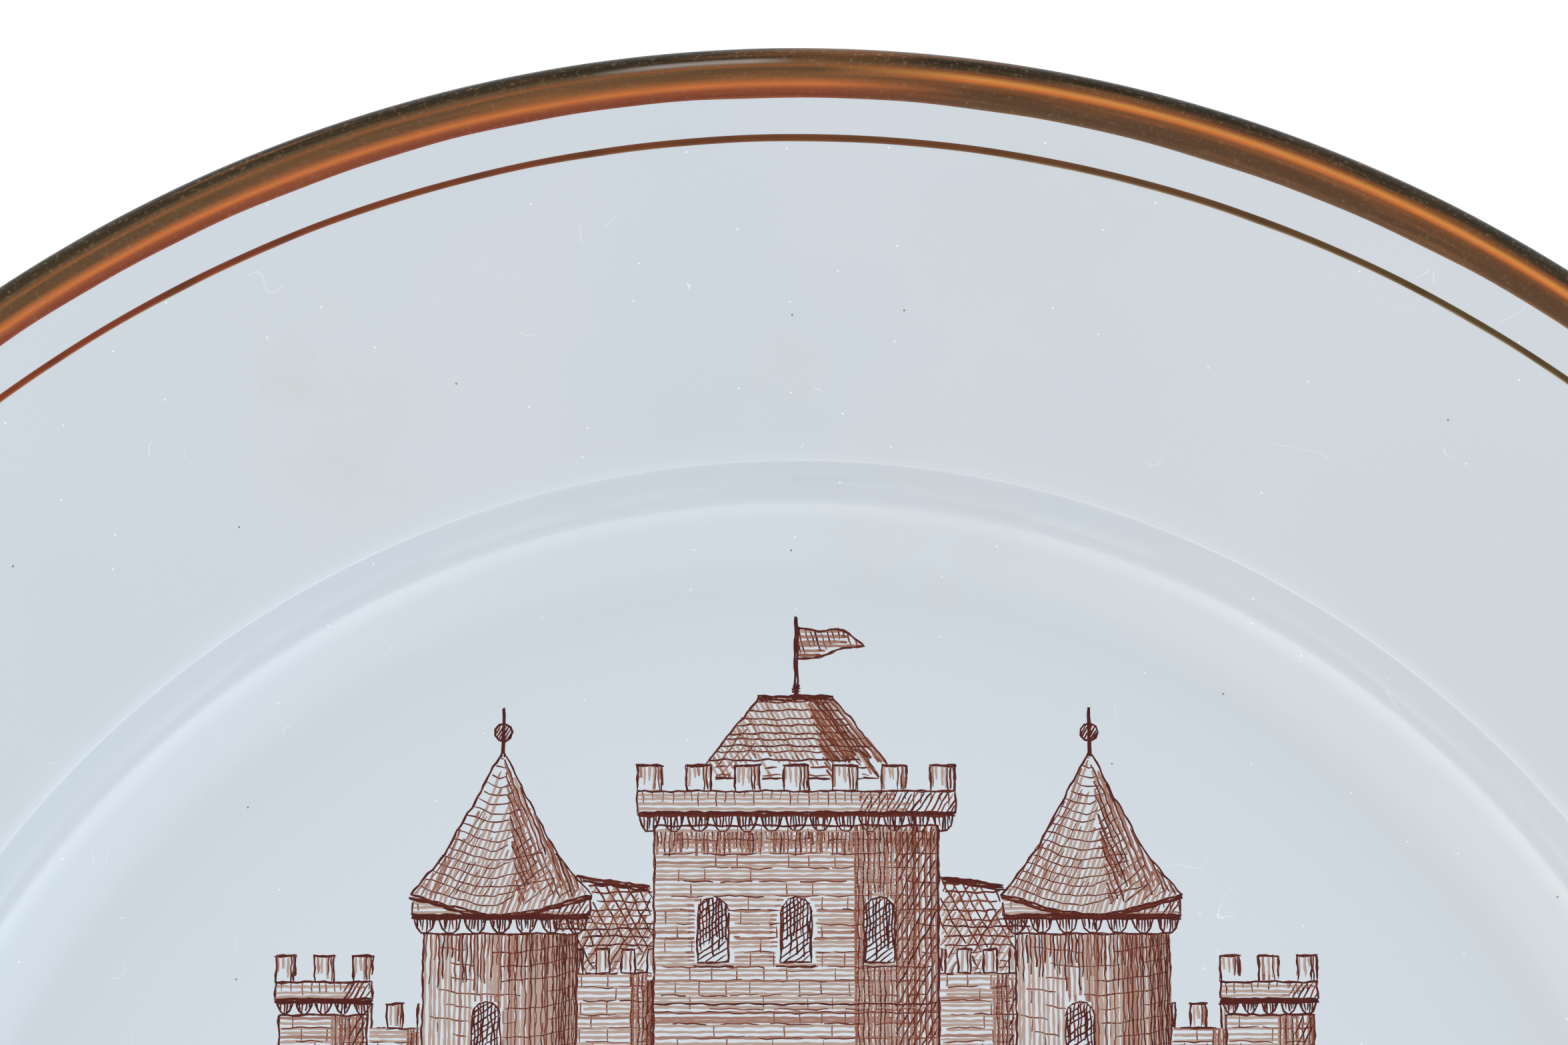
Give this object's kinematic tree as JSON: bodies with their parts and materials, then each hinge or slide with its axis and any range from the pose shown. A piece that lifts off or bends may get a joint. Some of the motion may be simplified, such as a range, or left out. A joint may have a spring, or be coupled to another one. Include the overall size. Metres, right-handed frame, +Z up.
{
  "type": "souvenir plate",
  "caption": "Round glazed porcelain plate with a wide rim, a sunken well, a gilded lip, a gold hairline and a sepia castle drawing fired onto the floor of the well.",
  "frame": {"origin": "on the plate's axis, at the height of the surface that the foot ring stands on", "axes": "+Z up along the plate's axis out of the well, +Y towards the top of the drawing, +X to its right"},
  "size_m": [0.25, 0.25, 0.025],
  "materials": {
    "porcelain_glaze": "cool white hard-paste porcelain under a clear glossy glaze, with a dry unglazed foot land",
    "burnished_gilding": "hand-banded gold, fired on and burnished, with brush streaks from olive brown to copper",
    "sepia_enamel": "thin red-brown enamel pen lines fired on over the glaze, satin"
  },
  "bodies": {
    "root": {"plate_body": "porcelain_glaze", "gilt_edge_band": "burnished_gilding", "gilt_hairline": "burnished_gilding", "castle_drawing": "sepia_enamel"}
  },
  "joints": []
}
